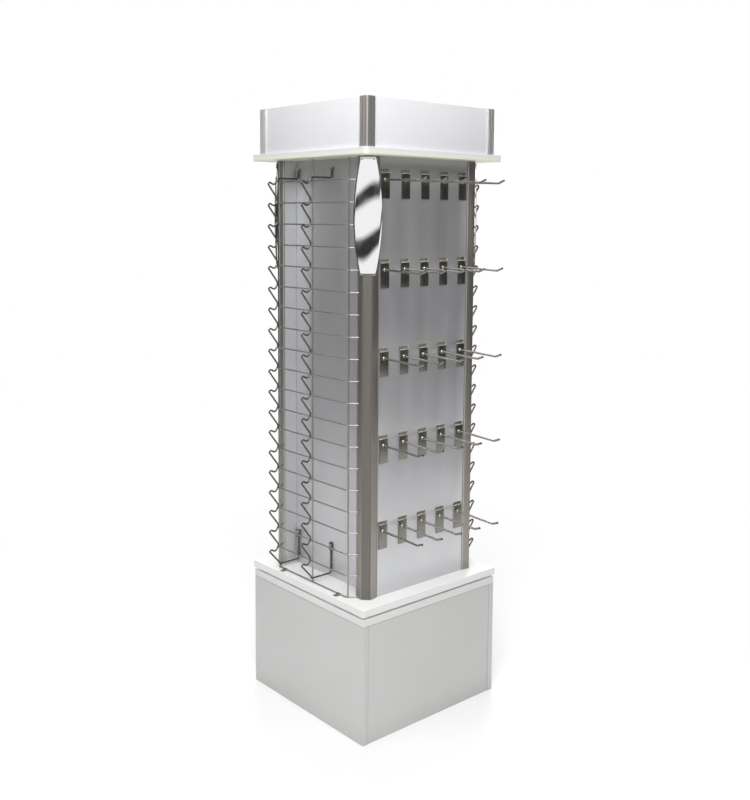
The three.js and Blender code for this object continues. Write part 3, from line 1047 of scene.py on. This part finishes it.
def hook_plate(y, top):
    rear = panel_high.x + 0.3 * mm
    front = rear + PLATE_THICK
    bottom = hook_low.z - hook_high.z + top
    outline = [(rear, bottom), (front, bottom)]
    for i in range(5):
        turn = math.radians(22.5 * i)
        outline.append((front - FOLD_RADIUS + FOLD_RADIUS * math.cos(turn),
                        top - FOLD_RADIUS + FOLD_RADIUS * math.sin(turn)))
    tongue = panel_low.x + 1.4 * mm
    outline += [(tongue, top), (tongue, top - 2 * mm), (rear, top - 2.1 * mm)]
    ring = [(x, y - PLATE_WIDE / 2, z) for x, z in outline]
    bm = extruded_section(ring, (0, PLATE_WIDE, 0))
    ease_edges(bm, 0.45 * mm, segments=2, sharper_than=50)
    # Faces that look upwards get the painted highlight.
    give_finish(bm, lambda face: face.normal.z > 0.2)
    return bm


def hook_peg(y, top):
    root = top + SLOT_ABOVE_HOOK - PEG_BELOW_SLOT
    start = panel_high.x + PLATE_THICK
    tip = hook_high.x - 1.2 * mm
    bend = tip - PEG_TURN_UP
    path = bent_path([(start, y, root), (bend, y, root - 5 * mm), (tip, y, root + 2 * mm)],
                     16 * mm, steps=7)
    bm = round_wires([path], PEG, sides=4)
    weld = turned_part([(PEG * 0.5, 2.6 * mm), (PEG * 0.6, 1.0 * mm), (PEG * 0.85, 0.2 * mm),
                        (PEG * 0.9, -0.4 * mm), (0, -0.4 * mm)], steps=16)
    out = at(start + 0.5 * mm, y, root) @ Matrix.Rotation(math.pi / 2, 4, "Y")
    return add_to(bm, weld, out)


# %% Place the 25 hooks
for row, top in enumerate(hook_rows, 1):
    for column, y in enumerate(hook_columns, 1):
        place = f"{row}_{column}"
        finish_piece(f"hook_plate_{place}", hook_plate(y, top), [painted_shade_plate_steel, painted_highlight_steel],
                     [f"hook_{place}"])
        finish_piece(f"hook_peg_{place}", hook_peg(y, top), [peg_steel],
                     crease=60)
print("hooks:", len(hook_rows) * len(hook_columns))

# %% [markdown]
# ## Room, light and camera
#
# The stand is shown on a round white floor. Near the stand the floor is plain white and takes
# its soft contact shadow. Further out its colour fades and it glows by itself, so that it runs
# into the white behind it. A plain white floor all the way out would end in a grey rim.

# %% Floor
FLOOR_RADIUS = 2.6
GLOW_FROM, GLOW_FULL = 0.7, 2.0


def plain_floor():
    bm = bmesh.new()
    bmesh.ops.create_circle(bm, cap_ends=True, segments=96, radius=FLOOR_RADIUS)
    mesh = bpy.data.meshes.new("studio_floor")
    bm.to_mesh(mesh)
    bm.free()
    material, tree, shader = start_material("white_floor", (0.95, 0.95, 0.95), roughness=0.8)
    drift = object_noise(tree, 2, detail=2)
    colour = ramp(tree, drift, [(0.3, (0.945, 0.945, 0.945)), (0.7, (0.955, 0.955, 0.955))])
    middle = add_node(tree, "VectorMath", {0: object_place(tree)})
    middle.operation = "LENGTH"
    away = to_range(tree, middle.outputs["Value"], 0, 1, GLOW_FROM, GLOW_FULL)
    fade = ramp(tree, away, [(0.0, (1, 1, 1)), (1.0, (0, 0, 0))])
    tree.links.new(multiply(tree, colour, fade), shader.inputs["Base Color"])
    tree.links.new(away, shader.inputs["Emission Strength"])
    shader.inputs["Emission Color"].default_value = (1, 1, 1, 1)
    shader.inputs["Specular IOR Level"].default_value = 0
    mesh.materials.append(material)
    floor = bpy.data.objects.new("studio_floor", mesh)
    bpy.context.scene.collection.objects.link(floor)
    floor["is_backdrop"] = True


plain_floor()
print("floor", FLOOR_RADIUS, "m in radius")

# %% [markdown]
# The room is dark at eye level, so that the polished and pearl surfaces have something dark to
# show. It is a world shader, which looks up how bright the room is in the direction of each
# ray. That direction is split into how far it points up, towards the camera, and to its side.
# Behind the camera hangs a tall soft light with two slanting dark bars, which the corner mirrors
# pick up, and a second one like it hangs opposite, for the mirrors on the far side. The camera
# itself sees plain white behind the stand.

# %% Helpers for the world shader
CAMERA_YAW = math.radians(139.06)
toward_camera = Vector((-math.cos(CAMERA_YAW), -math.sin(CAMERA_YAW), 0))
beside_camera = Vector((-toward_camera.y, toward_camera.x, 0))


def grey(value):
    return (value, value, value)


def along(tree, look, axis):
    node = add_node(tree, "VectorMath", {0: look})
    node.operation = "DOT_PRODUCT"
    node.inputs[1].default_value = axis
    return node.outputs["Value"]


def product(tree, first, *others):
    for other in others:
        first = maths(tree, "MULTIPLY", first, other)
    return first


# %% Room as a world shader
CEILING = [(-1.0, 0.05), (-0.03, 0.05), (0.0, 0.07), (0.35, 0.08), (0.62, 0.52), (0.8, 0.7)]
BARS = ((-0.038, 0.016), (0.073, 0.010))
BAR_SOFT, BAR_SLOPE, BAR_REACH = 0.014, -0.16, 0.2
LIGHT_GREY, BAR_GREY = 0.95, 0.03


def soft_light_with_bars(tree, up, aside):
    steps = [(-BAR_REACH, LIGHT_GREY)]
    for centre, half in BARS:
        steps += [(centre - half - BAR_SOFT, LIGHT_GREY), (centre - half, BAR_GREY),
                  (centre + half, BAR_GREY), (centre + half + BAR_SOFT, LIGHT_GREY)]
    slanted = maths(tree, "MULTIPLY_ADD", aside, BAR_SLOPE, up)
    place = to_range(tree, slanted, 0, 1, -BAR_REACH, BAR_REACH)
    return ramp(tree, place, [((t + BAR_REACH) / (2 * BAR_REACH), grey(value))
                              for t, value in steps])


def room():
    world = bpy.data.worlds.new("room")
    bpy.context.scene.world = world
    world.use_nodes = True
    tree = world.node_tree
    tree.nodes.clear()
    look = tree.nodes.new("ShaderNodeTexCoord").outputs["Generated"]
    up = along(tree, look, (0, 0, 1))
    aside = along(tree, look, beside_camera)
    facing = maths(tree, "ABSOLUTE", along(tree, look, toward_camera))
    general = ramp(tree, to_range(tree, up, 0, 1, -1, 1),
                   [((z + 1) / 2, grey(value)) for z, value in CEILING])
    patch = product(tree, to_range(tree, aside, 1, 0, 0.32, 0.44),
                    to_range(tree, aside, 0, 1, -0.44, -0.32),
                    to_range(tree, facing, 0, 1, 0, 0.1),
                    to_range(tree, up, 1, 0, 0.30, 0.42),
                    to_range(tree, up, 0, 1, -0.34, -0.24))
    seen = mix_colours(tree, general, soft_light_with_bars(tree, up, aside), patch)
    lit = add_node(tree, "Background", {"Color": seen})
    plain = add_node(tree, "Background", Color=(1, 1, 1, 1))
    camera_ray = tree.nodes.new("ShaderNodeLightPath").outputs["Is Camera Ray"]
    choose = add_node(tree, "MixShader", {"Fac": camera_ray, 1: lit.outputs["Background"],
                                          2: plain.outputs["Background"]})
    add_node(tree, "OutputWorld", {"Surface": choose.outputs["Shader"]})


room()
print("room ready, with", len(BARS), "dark bars")

# %% [markdown]
# Three soft lights do the work. A large one hangs high behind the camera and lights the slab
# and both sides that the camera sees. A small weak one to its left makes the rack side a shade
# brighter. One on the far side keeps the other two sides from going black.

# %% Soft lights
def soft_light(name, place, target, size, watts):
    data = bpy.data.lights.new(name, "AREA")
    data.shape = "SQUARE"
    data.size = size
    data.energy = watts
    lamp = bpy.data.objects.new(name, data)
    lamp.location = place
    aim = Vector(target) - Vector(place)
    lamp.rotation_euler = aim.to_track_quat("-Z", "Y").to_euler()
    lamp.visible_camera = False
    bpy.context.scene.collection.objects.link(lamp)


soft_light("high_light", (2.5, -2.3, 4.0), (0, 0, 0.6), 2.6, 165)
soft_light("left_light", (-1.2, -3.6, 2.9), (0, 0, 0.8), 1.8, 14)
soft_light("far_light", (-2.6, 2.6, 3.6), (0, 0, 0.8), 2.6, 80)
print("lights:", len(bpy.data.lights))

# %% [markdown]
# The camera stands at chest height, off the corner between the rack side and the hook side,
# looks slightly down, and is a third of a degree out of level. The shift slides the picture on
# the sensor without tilting the camera, so the stand's upright edges keep their directions.

# %% Camera
EYE = (2.10604, -1.82799, 1.37376)
CAMERA_PITCH, CAMERA_ROLL = math.radians(-5.62), math.radians(0.37)
LENS, SENSOR = 44.167, 36
SHIFT_ACROSS, SHIFT_UP = 0.0004, -0.1065


def camera():
    data = bpy.data.cameras.new("view")
    data.sensor_width, data.lens = SENSOR, LENS
    data.shift_x, data.shift_y = SHIFT_ACROSS, SHIFT_UP
    eye = bpy.data.objects.new("view", data)
    eye.matrix_world = (Matrix.Translation(EYE)
                        @ Matrix.Rotation(CAMERA_YAW - math.pi / 2, 4, "Z")
                        @ Matrix.Rotation(math.pi / 2 + CAMERA_PITCH, 4, "X")
                        @ Matrix.Rotation(CAMERA_ROLL, 4, "Z"))
    bpy.context.scene.collection.objects.link(eye)
    bpy.context.scene.camera = eye


camera()
bpy.context.scene.view_settings.view_transform = "Standard"
print("camera", round(Vector(EYE).length, 2), "m from the foot of the stand")

# %% [markdown]
# Last, the finished model's box is printed beside the frame's box, because the looks must not
# change the size of the stand.

# %% Measure and finish
bpy.context.view_layer.update()
visual_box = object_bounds()
for name, (low, high) in (("frame", cad_box), ("finished", visual_box)):
    print(name, [round((b - a) / mm, 1) for a, b in zip(low, high)])
